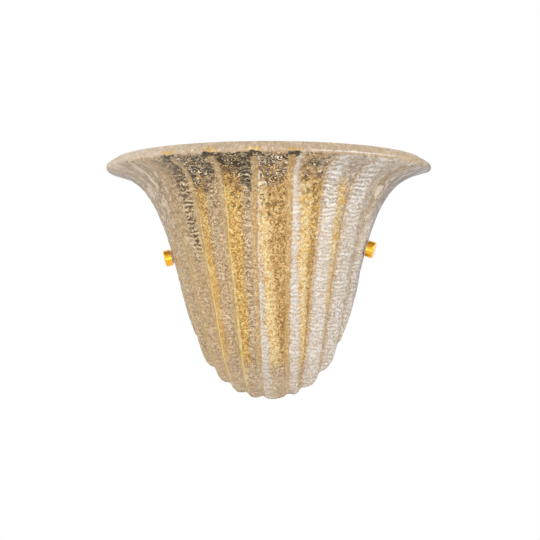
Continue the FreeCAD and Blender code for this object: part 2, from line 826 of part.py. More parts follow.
def barrel_start():
    """The near end of the tag's barrel, clear of the screw's head."""
    depth = size("plate_thickness") + size("tag_barrel") / 2
    reach = size("earth_head") / 2 + size("seat_clearance")
    return Vector(reach, -depth, size("earth_height"))


def lead(name, points):
    """A round lead along straight runs joined by tangent arcs."""
    edges = []
    start = points[0]
    for before, corner, after in zip(points, points[1:], points[2:]):
        back = (before - corner).normalize()
        on = (after - corner).normalize()
        turn = math.pi - back.getAngle(on)
        shorter = min((before - corner).Length, (after - corner).Length)
        trim = 0.45 * shorter
        radius = trim / math.tan(turn / 2)
        enter = corner + back * trim
        leave = corner + on * trim
        bisector = (back + on).normalize()
        crown = corner + bisector * (radius / math.cos(turn / 2) - radius)
        edges.append(Part.LineSegment(start, enter).toShape())
        edges.append(Part.Arc(enter, crown, leave).toShape())
        start = leave
        print(f"{name}: arc radius {radius:.1f} mm")
    edges.append(Part.LineSegment(start, points[-1]).toShape())
    path = Part.Wire(edges)
    profile = Part.Wire([Part.makeCircle(
        size("lead_diameter") / 2, points[0], points[1] - points[0])])
    tube = path.makePipeShell([profile], True, False)
    expected = math.pi * size("lead_diameter") ** 2 / 4 * path.Length
    print(f"{name}: length {path.Length:.0f} mm, volume {tube.Volume / expected:.3f} of expected")
    keep(feature(name + "_route", tube), name)


def supply_lead(name, side):
    """From the foot of a pole, down and round to the back of the holder on that side."""
    foot = pole(side)
    level = lead_level()
    centre = lamp_axis(side, level)
    back = centre.y + size("holder_diameter") / 2
    inside = Vector(centre.x, back - size("lead_reach"), level)
    near = Vector(centre.x, foot.y + size("lead_diameter"), level)
    drop = Vector(foot.x, foot.y, (foot.z + level) / 2)
    halfway = Vector((foot.x + centre.x) / 2, foot.y + size("lead_diameter") / 2, level + 1)
    lead(name, [foot + UP * size("lead_reach"), drop, halfway, near, inside])


def link_lead(name, forward):
    """From one holder to its twin, sagging a little on the way."""
    level = lead_level()
    offset = forward * size("lead_diameter") * 1.4
    left = lamp_axis(LEFT, level) + Vector(size("holder_diameter") / 2, offset, 0)
    right = lamp_axis(RIGHT, level) + Vector(-size("holder_diameter") / 2, offset, 0)
    reach = Vector(size("lead_reach"), 0, 0)
    sag = UP * (-size("lead_diameter") / 2)
    lead(name, [left - reach, left + reach, (left + right) / 2 + sag, right - reach, right + reach])


def earth_lead():
    top = pole(0) + UP * size("block_height")
    barrel = barrel_start() + Vector(size("lead_reach"), 0, 0)
    aside = size("grommet_flange") / 2 + 3 * size("lead_diameter")
    near_plate = -size("plate_thickness") - size("lead_diameter")
    entry = size("cable_hole_height")
    lead("earth_lead", [
        top - UP * size("lead_reach"),
        top + UP * 5,
        Vector(aside * 0.45, (top.y + near_plate) / 2, top.z + 12),
        Vector(aside, near_plate - 0.8, top.z + 22),
        Vector(aside + 1.5, near_plate, entry + 4),
        Vector(aside + 1.0, barrel.y, size("earth_height") - 8),
        Vector(aside - 0.5, barrel.y, size("earth_height")),
        barrel - Vector(size("lead_reach") * 0.6, 0, 0),
    ])


# ------------------------------------------------------------------- output

def check_and_write():
    doc.recompute()
    for obj in doc.Objects:
        bad = [state for state in obj.State if state in ("Invalid", "Error")]
        if bad:
            raise RuntimeError(f"{obj.Name} failed: {bad}")
    for obj in parts:
        if obj.Shape.isNull() or not obj.Shape.isValid() or not obj.Shape.Solids:
            raise RuntimeError(f"{obj.Label} has no valid solid")
    os.makedirs("parts", exist_ok=True)
    for obj in parts:
        obj.Shape.exportStep(f"parts/{obj.Label}.step")
        print(obj.Label, len(obj.Shape.Solids), round(obj.Shape.Volume, 1))


def main():
    fill_sheet()
    outer = outer_glass()
    seats = {name: Seat(outer, side, size(name + "_screw_height"))
             for name, side in SIDES.items()}
    levels = seat_levels()
    for name, seat in seats.items():
        print(name, "seat", seat.point, "axis", seat.axis, "droop", round(seat.droop, 2))
    glass_shade(outer, seats, levels)
    spots = shelf_rivet_spots()
    for name, seat in seats.items():
        spots = spots + fastening(name, seat, levels)
    wall_plate(spots)
    grommet()
    lamp_shelf(shelf_rivet_spots())
    for name, side in SIDES.items():
        holder(name, side)
        lamp(name, side)
    terminal_block()
    earth_point()
    supply_lead("live_lead", LEFT)
    supply_lead("neutral_lead", RIGHT)
    link_lead("live_link", 1)
    link_lead("neutral_link", -1)
    earth_lead()
    check_and_write()


main()
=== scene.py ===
"""Looks of the fluted glass wall light: finishes of every piece, the glass shade, and the studio.

Metres. X to the right of someone facing the light, -Y out of the wall, +Z up.
"""

import math

import bmesh
import bpy
import numpy as np
from bpy.props import FloatProperty, FloatVectorProperty, IntProperty, PointerProperty
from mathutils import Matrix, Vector


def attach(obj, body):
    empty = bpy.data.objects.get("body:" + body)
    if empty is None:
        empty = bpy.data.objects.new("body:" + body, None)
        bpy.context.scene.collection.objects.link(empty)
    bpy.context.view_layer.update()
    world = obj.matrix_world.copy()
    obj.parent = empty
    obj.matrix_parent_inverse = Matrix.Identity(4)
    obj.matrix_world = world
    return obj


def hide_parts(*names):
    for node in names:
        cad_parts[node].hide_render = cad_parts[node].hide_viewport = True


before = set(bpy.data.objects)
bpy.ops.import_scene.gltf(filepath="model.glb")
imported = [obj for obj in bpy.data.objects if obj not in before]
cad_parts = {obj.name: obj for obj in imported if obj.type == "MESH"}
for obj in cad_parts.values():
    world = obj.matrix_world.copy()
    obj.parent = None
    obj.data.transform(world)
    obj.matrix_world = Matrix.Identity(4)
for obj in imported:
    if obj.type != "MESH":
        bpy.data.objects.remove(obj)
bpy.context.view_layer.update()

bl_info = {
    "name": "Fluted Glass Wall Light",
    "version": (1, 0, 0),
    "blender": (4, 5, 0),
    "location": "3D View > Sidebar > Wall Light",
    "description": "Dresses a thumbscrewed glass wall light and sets up its studio",
    "category": "Object",
}

MM = 0.001
SIDES = ("left", "right")
BLACK = (0.0, 0.0, 0.0)
WHITE = (1.0, 1.0, 1.0, 1.0)

# The glass's sections from foot to rim: height, radius, and how far behind the wall the centre is.
SECTIONS_MM = {
    "tail": (-141.0, 61.0, 69.0),
    "toe": (-128.5, 62.7, 55.5),
    "heel": (-118.0, 65.3, 46.8),
    "ankle": (-105.0, 69.9, 39.1),
    "calf": (-87.4, 75.6, 29.3),
    "hip": (-61.7, 82.2, 20.6),
    "waist": (-30.8, 89.4, 13.4),
    "middle": (0.0, 95.6, 5.1),
    "chest": (30.8, 103.8, 3.1),
    "shoulder": (61.7, 115.7, 1.0),
    "neck": (77.0, 125.0, 0.0),
    "bell": (87.4, 135.5, 0.0),
    "flare": (94.0, 149.0, 0.0),
    "lip": (98.0, 161.0, 0.0),
    "edge": (101.5, 164.5, 0.0),
    "rim": (110.0, 154.5, 0.0),
}
HEIGHTS, RADII, SETBACKS = np.array(list(SECTIONS_MM.values())).T
# How much of the flutes' depth is left at each height, as they run out under the lip.
FADE_HEIGHTS_MM = (77.0, 87.4, 94.0, 98.0)
FADE_SHARES = (1.0, 0.9, 0.6, 0.0)
# Each groove's angle at the foot, the middle and the head; the lobes of drawn glass differ.
GROOVES = np.array((
    (-108, -108, -108), (-90, -90, -90), (-72, -69, -61), (-56, -51.5, -42), (-39.6, -34.3, -26),
    (-22.4, -17.8, -12.4), (-5.5, -1.8, 1.7), (19.8, 17, 13.7), (33.9, 32.7, 27.9),
    (52.9, 48.8, 42.7), (70, 68, 61), (90, 90, 90), (108, 108, 108),
), float)
MIDDLE_GROOVE = len(GROOVES) // 2
GROOVE_FOOT_MM, GROOVE_HEAD_MM = -118.0, 98.0
LAST_PLAIN_ANGLE = 87.0  # past this the columns of the mesh close up on the wall
CLOSING_COLUMNS = 4
ROW_BUNCHING = 0.92  # below 1 the rows of the outside stand closer towards the lip
OUTSIDE_TO_INSIDE = 4  # the outside has this many rows for each one of the smooth inside
RIM_STEPS, MOUTH_STEPS = 7, 4
RIM_ROLL_MM = 0.9  # the rim is all but flat: its edges rise by about a twentieth of this
FOOT_HALVINGS = 40  # each one halves the error of the height at which a column meets the wall
RELIEF_SEED = 3.0
NOISE_REACH = (0.35, 0.65)  # most of plain noise lies between these
SAME_POINT, SLIVER = 0.02 * MM, 0.01 * MM  # closer points are merged, and shorter edges go
WARM_LACQUER = (1.0, 0.45, 0.03)  # as shaders count it


def linear(hex_colour):
    """sRGB hex to the linear colour that shaders use."""
    values = [int(hex_colour[i:i + 2], 16) / 255 for i in (1, 3, 5)]
    return tuple(v / 12.92 if v <= 0.04045 else ((v + 0.055) / 1.055) ** 2.4 for v in values)


def colour(hex_colour, name, description):
    return FloatVectorProperty(
        name=name, description=description, subtype="COLOR", size=3, min=0, max=1,
        default=linear(hex_colour))


def length(default_mm, name, description):
    return FloatProperty(
        name=name, description=description, default=default_mm * MM, min=0, unit="LENGTH")


class GlassSettings(bpy.types.PropertyGroup):
    wall: length(6.0, "Wall", "Thickness of the glass")
    rim_wall: length(5.0, "Rim", "Thickness of the glass at its rim")
    wall_gap: length(2.0, "Wall gap", "Distance from the wall to the back edge of the glass")
    flute_depth: length(3.4, "Flute depth", "From the crest of a lobe to the floor of a groove")
    groove_width: length(6.5, "Groove width", "Width of the smooth groove between two lobes")
    lump_size: length(13.0, "Lumps", "Distance between the slow swells of the surface")
    lump_depth: length(0.5, "Lump depth", "Depth of the slow swells")
    pit_size: length(4.5, "Pits", "Distance between neighbouring pits")
    pit_depth: length(0.35, "Pit depth", "Depth of the pits")
    grain_size: length(1.8, "Grain", "Distance between neighbouring grains of grit")
    rung_pitch: length(3.8, "Rungs", "Distance between the ladder-like wrinkles")
    amber_dark: colour("#855a2b", "Amber shade", "Dark tone of the glass itself")
    amber: colour("#cca268", "Amber", "Middle tone of the glass itself")
    amber_light: colour("#fdebc8", "Amber light", "Light tone of the glass itself")
    # the gold tones paint the plate as seen through the glass, on the left lobes
    gold_dark: colour("#9c6414", "Gold shade", "Dark tone of the gold patches on the left lobes")
    gold: colour("#e8b152", "Gold", "Middle tone of the gold patches on the left lobes")
    gold_light: colour("#ffeaa2", "Gold light", "Light tone of the gold patches on the left lobes")
    # painted reflection on the flanks of the right half
    silver_dark: colour("#c7b39a", "Silver shade", "Dark tone of the pale flanks")
    silver: colour("#ecdfd0", "Silver", "Middle tone of the pale flanks")
    silver_light: colour("#ffffff", "Silver light", "Light tone of the pale flanks")
    columns: IntProperty(name="Columns", description="Mesh columns across", default=360, min=40)
    rows: IntProperty(name="Rows", description="Mesh rows up the outside", default=205, min=20)


class MetalSettings(bpy.types.PropertyGroup):
    sheet: colour("#d8a850", "Gold sheet", "Lacquered gold sheet metal")
    knob: colour("#f7b32a", "Knob", "Gold lacquered brass knob")
    brass: colour("#c9a45c", "Brass", "Plain turned brass")
    steel: colour("#b9b8b4", "Steel", "Zinc plated steel")


class StageSettings(bpy.types.PropertyGroup):
    azimuth: FloatProperty(
        name="Azimuth", description="Camera angle to the light's right", subtype="ANGLE",
        default=math.radians(6.0))
    distance: length(900.0, "Distance", "From the wall to the camera")
    view_width: length(555.0, "View width", "Width of the picture at the wall")
    look_right: length(1.5, "Look right", "How far right of the origin the camera looks")
    soft_light: FloatProperty(
        name="Soft light", description="Strength of the light from all round", default=0.8, min=0)
    floor: colour("#f2f1ef", "Floor", "Matt floor")
    look_up: length(0.0, "Look up", "How far above the origin the camera looks")
    floor_size: length(6000.0, "Floor size", "Length of each side of the floor")
    floor_drop: length(450.0, "Floor drop", "How far the floor lies below the light's origin")


# ------------------------------------------------------------------ nodes

def add(tree, kind, inputs=None, **settings):
    """One node, with its settings, its values and its incoming links."""
    made = tree.nodes.new(kind)
    for name, value in settings.items():
        setattr(made, name, value)
    for name, value in (inputs or {}).items():
        socket = made.inputs[name]
        if isinstance(value, bpy.types.NodeSocket):
            tree.links.new(value, socket)
        else:
            socket.default_value = value
    return made


def blank_tree(owner):
    """The emptied node tree of a material or a world."""
    owner.use_nodes = True
    owner.node_tree.nodes.clear()
    return owner.node_tree


def rgba(shade):
    return (*shade[:3], 1.0)


def mixed(first, second, share):
    """The first colour with a share of the second."""
    return tuple(a + (b - a) * share for a, b in zip(first[:3], second[:3]))


class Field:
    """Shorthand for values that vary from place to place, as sockets of one node tree."""

    def __init__(self, tree, place=None):
        self.tree = tree
        self.place = place

    def made(self, kind, *values, **settings):
        """The first output of a new node, whose inputs are given in their order."""
        return add(self.tree, kind, dict(enumerate(values)), **settings).outputs[0]

    def times(self, first, *others):
        for other in others:
            first = self.made("ShaderNodeMath", first, other, operation="MULTIPLY")
        return first

    def plus(self, first, *others):
        for other in others:
            first = self.made("ShaderNodeMath", first, other, operation="ADD")
        return first

    def less(self, value):
        """What is left of 1 without the value."""
        return self.made("ShaderNodeMath", 1.0, value, operation="SUBTRACT")

    def rescaled(self, value, factor, offset=0.0):
        return self.made("ShaderNodeMath", value, factor, offset, operation="MULTIPLY_ADD")

    def size(self, value):
        """The value without its sign."""
        return self.made("ShaderNodeMath", value, operation="ABSOLUTE")

    def rising(self, value, low, high):
        """0 below low, 1 above high, smooth between."""
        return self.made("ShaderNodeMapRange", value, low, high, 0.0, 1.0,
                         interpolation_type="SMOOTHSTEP")

    def above(self, value, start, soft):
        return self.rising(value, start - soft, start + soft)

    def below(self, value, end, soft):
        return self.less(self.above(value, end, soft))

    def between(self, value, low, high, soft):
        return self.times(self.above(value, low, soft), self.below(value, high, soft))

    def mix(self, factor, first, second):
        return add(self.tree, "ShaderNodeMix", {0: factor, 2: first, 3: second}).outputs[0]

    def blend(self, factor, first, second):
        """A colour between two others."""
        return add(self.tree, "ShaderNodeMix", {0: factor, 6: first, 7: second},
                   data_type="RGBA").outputs[2]

    def stretched(self, across, up):
        """The place, with a pattern's scale across the light and up it."""
        return add(self.tree, "ShaderNodeMapping", {
            0: self.place, "Scale": (across, across, up)}).outputs[0]

    def cloud(self, size_mm, detail=2.0, distortion=0.0, vector=None, roughness=0.5):
        """Noise whose features are about size_mm apart."""
        return add(self.tree, "ShaderNodeTexNoise", {
            "Vector": vector or self.place, "Scale": 1 / (size_mm * MM), "Detail": detail,
            "Roughness": roughness, "Distortion": distortion}).outputs[0]

    def noise(self, size_mm, detail=2.0, distortion=0.0, vector=None, roughness=0.5):
        """A cloud stretched to about 0 to 1."""
        return self.rescaled(self.cloud(size_mm, detail, distortion, vector, roughness), 2.0, -0.5)

    def sharpened(self, value, contrast):
        """The value held to 0 to 1, with more contrast about its middle."""
        return self.made("ShaderNodeClamp", self.rescaled(value, contrast, (1 - contrast) / 2))

    def waves(self, value):
        """0 to 1 and back each time value goes up by 1."""
        turn = self.times(value, 2 * math.pi)
        return self.rescaled(self.made("ShaderNodeMath", turn, operation="SINE"), 0.5, 0.5)


SHADER_SOCKETS = {
    "colour": "Base Color", "rough": "Roughness", "metal": "Metallic", "normal": "Normal",
    "transmission": "Transmission Weight", "ior": "IOR", "coat": "Coat Weight",
    "coat_rough": "Coat Roughness",
}


class Finish(Field):
    """A material on the object's own coordinates, while it is built up."""

    def __init__(self, name):
        self.material = bpy.data.materials.new(name)
        tree = blank_tree(self.material)
        super().__init__(tree, add(tree, "ShaderNodeTexCoord").outputs["Object"])

    def done(self, relief=None, **inputs):
        """The material. relief is what raises its surface, how strongly, and how far in mm."""
        if relief:
            height, strength, depth_mm = relief
            inputs["normal"] = add(self.tree, "ShaderNodeBump", {
                "Height": height, "Strength": strength, "Distance": depth_mm * MM}).outputs[0]
        shader = add(self.tree, "ShaderNodeBsdfPrincipled",
                     {SHADER_SOCKETS[name]: value for name, value in inputs.items()})
        add(self.tree, "ShaderNodeOutputMaterial", {0: shader.outputs[0]})
        return self.material


# ------------------------------------------------------------------ the glass

def smooth_curve(heights, values):
    """A natural cubic spline through the sections, as a function of height."""
    count = len(heights)
    gaps = np.diff(heights)
    system = np.eye(count)
    right = np.zeros(count)
    for i in range(1, count - 1):
        system[i, i - 1:i + 2] = gaps[i - 1], 2 * (gaps[i - 1] + gaps[i]), gaps[i]
        right[i] = 6 * ((values[i + 1] - values[i]) / gaps[i]
                        - (values[i] - values[i - 1]) / gaps[i - 1])
    bend = np.linalg.solve(system, right)

    def at(height):
        i = np.clip(np.searchsorted(heights, height) - 1, 0, count - 2)
        gap = gaps[i]
        up = (heights[i + 1] - height) / gap
        down = 1 - up
        cubic = ((up ** 3 - up) * bend[i] + (down ** 3 - down) * bend[i + 1]) * gap ** 2 / 6
        return up * values[i] + down * values[i + 1] + cubic

    return at


radius_at = smooth_curve(HEIGHTS, RADII)
setback_at = smooth_curve(HEIGHTS, SETBACKS)


def groove_angles(height):
    """Every groove's angle at each of the heights given, one row per groove."""
    at_foot, at_middle, at_head = GROOVES.T[:, :, None]
    low = np.clip(height / GROOVE_FOOT_MM, 0, 1) ** 2
    high = np.clip(height / GROOVE_HEAD_MM, 0, 1) ** 2
    return at_middle + (at_foot - at_middle) * low + (at_head - at_middle) * high


def flute_number(degrees, height):
    """Counts the grooves passed on the way out from the middle one, with the share of the next."""
    angles = groove_angles(height)
    passed = (degrees - angles[:-1]) / np.diff(angles, axis=0)
    return np.clip(passed, 0, 1).sum(axis=0) - MIDDLE_GROOVE


def flute_hollow(degrees, height, settings):
    """How deep the surface lies under the crests' envelope, in mm."""
    depth = settings.flute_depth / MM * np.interp(height, FADE_HEIGHTS_MM, FADE_SHARES)
    half = settings.groove_width / MM / 2
    number = flute_number(degrees, height)
    below = np.clip(np.floor(number).astype(int) + MIDDLE_GROOVE, 0, len(GROOVES) - 2)
    widths = np.take_along_axis(np.diff(groove_angles(height), axis=0), below[None], axis=0)[0]
    lobe = np.radians(widths) * radius_at(height)
    off = np.abs(number - np.round(number)) * lobe
    crest = np.clip((off - half) / (lobe / 2 - half), 0, 1)
    rounded = np.where(off > half, (1 - crest) ** 2, 2 - (off / half) ** 2)
    return depth / 2 * rounded


def spots(radius, degrees, setback, height):
    """Points at a radius and an angle, in mm, round a centre that lies behind the wall."""
    turn = np.radians(degrees)
    return np.stack([radius * np.sin(turn), setback - radius * np.cos(turn),
                     height + 0 * radius], -1)


def outer_point(degrees, height, settings):
    radius = radius_at(height) - flute_hollow(degrees, height, settings)
    return spots(radius, degrees, setback_at(height), height)


def inner_point(degrees, height, settings):
    """The inside of the wall, behind the outer surface at that height."""
    slope = np.arctan2(radius_at(height + 1) - radius_at(height - 1), 2.0)
    wall = settings.wall / MM
    radius = radius_at(height) - wall * np.cos(slope)
    return spots(radius, degrees, setback_at(height), height + wall * np.sin(slope))


def foot_height(point, degrees, settings):
    """The height at which a column of the surface reaches the wall."""
    low = np.full_like(degrees, HEIGHTS[0])
    high = np.full_like(degrees, FADE_HEIGHTS_MM[0])
    for _ in range(FOOT_HALVINGS):
        middle = (low + high) / 2
        behind = point(degrees, middle, settings)[..., 1] > -settings.wall_gap / MM
        low = np.where(behind, middle, low)
        high = np.where(behind, high, middle)
    return high


def column_angles(settings):
    """Each column's angle, and how far it closes up on the wall, from 0 to 1."""
    plain = np.linspace(-LAST_PLAIN_ANGLE, LAST_PLAIN_ANGLE, settings.columns)
    closing = np.arange(1, CLOSING_COLUMNS + 1) / CLOSING_COLUMNS
    share = np.concatenate([-closing[::-1], np.zeros(settings.columns), closing])
    base = np.concatenate([np.full(CLOSING_COLUMNS, plain[0]), plain,
                           np.full(CLOSING_COLUMNS, plain[-1])])
    return base, share


def closed_up(base, share, radius, setback, settings):
    """Column angles, drawn towards the wall's plane where share says so."""
    gap = settings.wall_gap / MM
    wall = np.degrees(np.arccos(np.clip((setback + gap) / radius, -1, 1)))
    return base + share * (np.maximum(wall, LAST_PLAIN_ANGLE) - np.abs(base))


def sheet_rows(point, foot, top, count, base, share, settings, bunch=1.0):
    """Points from the wall up to a height, one row of columns after another."""
    rows = []
    for i in range(count):
        height = foot + (top - foot) * (i / (count - 1)) ** bunch
        angles = closed_up(base, share, radius_at(height), setback_at(height), settings)
        rows.append((point(angles, height, settings), angles, height))
    return rows


def lip_rows(base, share, settings):
    """Over the rim, from the top of the outside to the top of the inside."""
    thick = settings.rim_wall / MM
    rows = []
    for i in range(1, RIM_STEPS):
        along = i / RIM_STEPS
        radius = np.full_like(base, RADII[-1] - thick * along)
        roll = 1 - math.sin(math.pi * along) - (2 * along - 1) ** 2
        angles = closed_up(base, share, radius, np.zeros_like(base), settings)
        rows.append((spots(radius, angles, 0.0, HEIGHTS[-1] + RIM_ROLL_MM * roll), angles,
                     np.full_like(base, HEIGHTS[-1])))
    return rows


def inside_rows(base, share, settings, count):
    """Down the inside, from the rim's inner edge to the wall."""
    flare = SECTIONS_MM["flare"][0]
    foot = foot_height(inner_point, base, settings)
    body = sheet_rows(inner_point, foot, flare, count, base, share, settings)
    top, angles, _ = body[-1]
    last = np.hypot(top[:, 0], top[:, 1])
    mouth = RADII[-1] - settings.rim_wall / MM
    closing = []
    for i in range(1, MOUTH_STEPS):
        along = i / MOUTH_STEPS
        height = top[:, 2] + (HEIGHTS[-1] - top[:, 2]) * along
        closing.append((spots(last + (mouth - last) * along, angles, 0.0, height), angles,
                        np.full_like(base, HEIGHTS[-1])))
    return closing[::-1] + body[::-1]


def glass_mesh(settings):
    """The shell's plain fluted form, with what its finish needs stored on its points."""
    base, share = column_angles(settings)
    foot = foot_height(outer_point, base, settings)
    outside = sheet_rows(outer_point, foot, HEIGHTS[-1], settings.rows, base, share, settings,
                         ROW_BUNCHING)
    rim = lip_rows(base, share, settings)
    inside = inside_rows(base, share, settings, settings.rows // OUTSIDE_TO_INSIDE)
    loops = outside + rim + inside
    points = np.concatenate([row[0] for row in loops]) * MM
    angles = np.concatenate([row[1] for row in loops])
    heights = np.concatenate([row[2] for row in loops])
    is_outside = np.concatenate([np.full(len(base), i < len(outside), float)
                                 for i in range(len(loops))])
    count = len(base)
    faces = []
    for i in range(len(loops)):
        following = (i + 1) % len(loops)
        for j in range(count - 1):
            faces.append((i * count + j, i * count + j + 1,
                          following * count + j + 1, following * count + j))
    for column, flip in ((0, False), (count - 1, True)):
        ring = [i * count + column for i in range(len(loops))]
        faces += end_cap(ring, len(outside) + len(rim), flip)
    mesh = bpy.data.meshes.new("glass_shade")
    mesh.from_pydata(points.tolist(), [], faces)
    for name, values in (("flute", flute_number(angles, heights)), ("level", heights),
                         ("outside", is_outside)):
        mesh.attributes.new(name, "FLOAT", "POINT").data.foreach_set("value", values)
    return mesh


def end_cap(ring, turn, flip):
    """Faces that close the shell on the wall, laddered between its outside and its inside."""
    out = ring[:turn]
    back = ring[turn:][::-1]
    faces = []
    i = j = 0
    while i < len(out) - 1 or j < len(back) - 1:
        if j >= len(back) - 1 or (i < len(out) - 1 and i * len(back) <= j * len(out)):
            face = (out[i], out[i + 1], back[j])
            i += 1
        else:
            face = (out[i], back[j + 1], back[j])
            j += 1
        faces.append(face[::-1] if flip else face)
    return faces


def relief_tree(material):
    """Geometry nodes that press slow swells and pits into the outside of the glass."""
    tree = bpy.data.node_groups.new("Glass relief", "GeometryNodeTree")
    face = tree.interface
    face.new_socket("Geometry", in_out="INPUT", socket_type="NodeSocketGeometry")
    for name in ("Lump size", "Lump depth", "Pit size", "Pit depth", "Seed"):
        face.new_socket(name, in_out="INPUT", socket_type="NodeSocketFloat")
    face.new_socket("Geometry", in_out="OUTPUT", socket_type="NodeSocketGeometry")
    given = add(tree, "NodeGroupInput").outputs
    field = Field(tree, add(tree, "GeometryNodeInputPosition").outputs[0])

    def hollows(size, depth, distortion):
        noise = add(tree, "ShaderNodeTexNoise", {
            "Vector": field.place, "W": given["Seed"],
            "Scale": field.made("ShaderNodeMath", 1.0, size, operation="DIVIDE"),
            "Detail": 1.0, "Distortion": distortion}, noise_dimensions="4D").outputs[0]
        return field.times(field.rising(noise, *NOISE_REACH), depth)

    outside = field.made("GeometryNodeInputNamedAttribute", "outside", data_type="FLOAT")
    sink = field.times(
        field.plus(hollows(given["Lump size"], given["Lump depth"], 0.4),
                   hollows(given["Pit size"], given["Pit depth"], 1.0)),
        field.times(outside, -1.0))
    offset = add(tree, "ShaderNodeVectorMath", {
        0: field.made("GeometryNodeInputNormal"), "Scale": sink}, operation="SCALE")
    pressed = add(tree, "GeometryNodeSetPosition",
                  {"Geometry": given["Geometry"], "Offset": offset.outputs[0]})
    real = add(tree, "GeometryNodeRealizeInstances", {0: pressed.outputs[0]})
    dressed = add(tree, "GeometryNodeSetMaterial", {0: real.outputs[0], "Material": material})
    add(tree, "NodeGroupOutput", {0: dressed.outputs[0]})
    return tree


def apply_tree(obj, tree, values):
    """Run a geometry node tree on an object once and keep the plain mesh that it makes."""
    modifier = obj.modifiers.new("Relief", "NODES")
    modifier.node_group = tree
    for item in tree.interface.items_tree:
        if item.in_out == "INPUT" and item.name in values:
            modifier[item.identifier] = values[item.name]
    bpy.context.view_layer.update()
    evaluated = obj.evaluated_get(bpy.context.evaluated_depsgraph_get())
    made = bpy.data.meshes.new_from_object(evaluated)
    obj.modifiers.clear()
    obj.data = made


class GlassZones:
    """Where a point of the glass lies: masks from 0 to 1 for each kind of surface in it.

    Heights are in mm. number counts the grooves passed on the way out from the middle one, and
    across goes from 0 at one groove to 1 at the next one out, alike on both halves.
    """
    LIP_FOOT = 100.4  # the smooth lip starts here
    # half a groove is about 3 mm of a lobe's 24 mm
    FRONT_GROOVE, SIDE_GROOVE = 0.12, 0.11
    FRONT_GROOVES = 0.85  # how far from the middle of the first right lobe they count as front
    # the share of its lobe that a flank's painted reflection takes, next to the middle on each half
    # and at the side
    LEFT_FLANK, RIGHT_FLANK, SIDE_FLANK = 0.30, 0.13, 0.62
    SIDE_LOBE = 2.6  # where the flanks have reached their side share
    RIGHT_SPREAD = 0.0016  # share of the lobe that a right flank loses with each mm up
    FLARE, FLARED_LOBE = 45.0, 3.2  # above this and past this lobe no flank shows
    # the painted view of the gold plate through the glass, in metres: its middle, half its width,
    # how that widens up
    GOLD_MIDDLE, GOLD_HALF, GOLD_TAPER = 0.002, 0.068, 0.16
    GOLD = (-92.0, 82.0)  # its foot and its head

    def __init__(self, field):
        self.level, self.outside, number = (
            add(field.tree, "ShaderNodeAttribute", attribute_name=name).outputs["Fac"]
            for name in ("level", "outside", "flute"))
        self.right = field.above(number, 0.0, 0.06)
        self.left = field.less(self.right)
        self.number = field.size(number)
        self.across = field.made("ShaderNodeMath", self.number, operation="FRACT")
        self.from_groove = field.made("ShaderNodeMath", self.across, field.less(self.across),
                                      operation="MINIMUM")
        self.lip = field.above(
            field.rescaled(field.noise(5.0), 2.5, self.level), self.LIP_FOOT, 0.9)
        self.body = field.times(self.outside, field.less(self.lip))
        self.cloud = field.noise(34.0)
        wobble = field.rescaled(self.cloud, 1.0, -0.5)
        self.lobe = self.lobes(field, number)
        self.groove = field.times(field.less(self.lobe), self.body)
        self.past, self.flank = self.flanks(field, wobble)
        self.left_flank = field.times(self.flank, self.left)
        self.right_flank = field.times(self.flank, self.right)
        self.gold = self.plate_behind(field, wobble)

    def lobes(self, field, number):
        """All but the grooves, of which the two in front are the clearest."""
        edge = field.rescaled(field.noise(6.0), 0.07, self.from_groove)
        from_lobe = field.size(field.plus(number, -0.5))
        front = field.below(from_lobe, self.FRONT_GROOVES, 0.1)
        return field.less(field.plus(
            field.times(front, field.below(edge, self.FRONT_GROOVE, 0.03)),
            field.times(field.less(front), field.below(edge, self.SIDE_GROOVE, 0.04),
                        field.mix(self.right, 0.9, 0.4))))

    def flanks(self, field, wobble):
        """How far past its lobe's flank a point is, and the flanks, which face the middle and carry
        a painted reflection.

        They are wider on the lobes at the sides. On the right half they are narrow under the
        lip and widen towards the foot.
        """
        reach = field.made("ShaderNodeMapRange", self.number, 0.0, self.SIDE_LOBE,
                           field.mix(self.right, self.LEFT_FLANK, self.RIGHT_FLANK),
                           self.SIDE_FLANK)
        spread = field.times(self.right, field.rescaled(self.level, self.RIGHT_SPREAD))
        past = field.plus(self.across, field.times(reach, -1.0), field.times(wobble, 0.12), spread)
        flare = field.times(
            field.above(field.rescaled(self.right, -0.6, self.number), self.FLARED_LOBE, 0.3),
            field.above(self.level, self.FLARE, 25.0))
        return past, field.times(field.below(past, 0.0, 0.09), self.lobe, self.body,
                                 field.less(flare))

    def plate_behind(self, field, wobble):
        """Paints the plate's gold as it would show through the glass in front of it."""
        spot = add(field.tree, "ShaderNodeSeparateXYZ", {0: field.place}).outputs
        wide = field.size(field.plus(spot[0], -self.GOLD_MIDDLE))
        edge = field.plus(field.rescaled(spot[2], self.GOLD_TAPER, self.GOLD_HALF),
                          field.times(wobble, 0.012))
        within = field.made("ShaderNodeMath", edge, wide, operation="SUBTRACT")
        inside = field.above(within, 0.002, 0.007)
        return field.times(inside, field.between(
            field.rescaled(wobble, 14.0, self.level), *self.GOLD, 9.0))


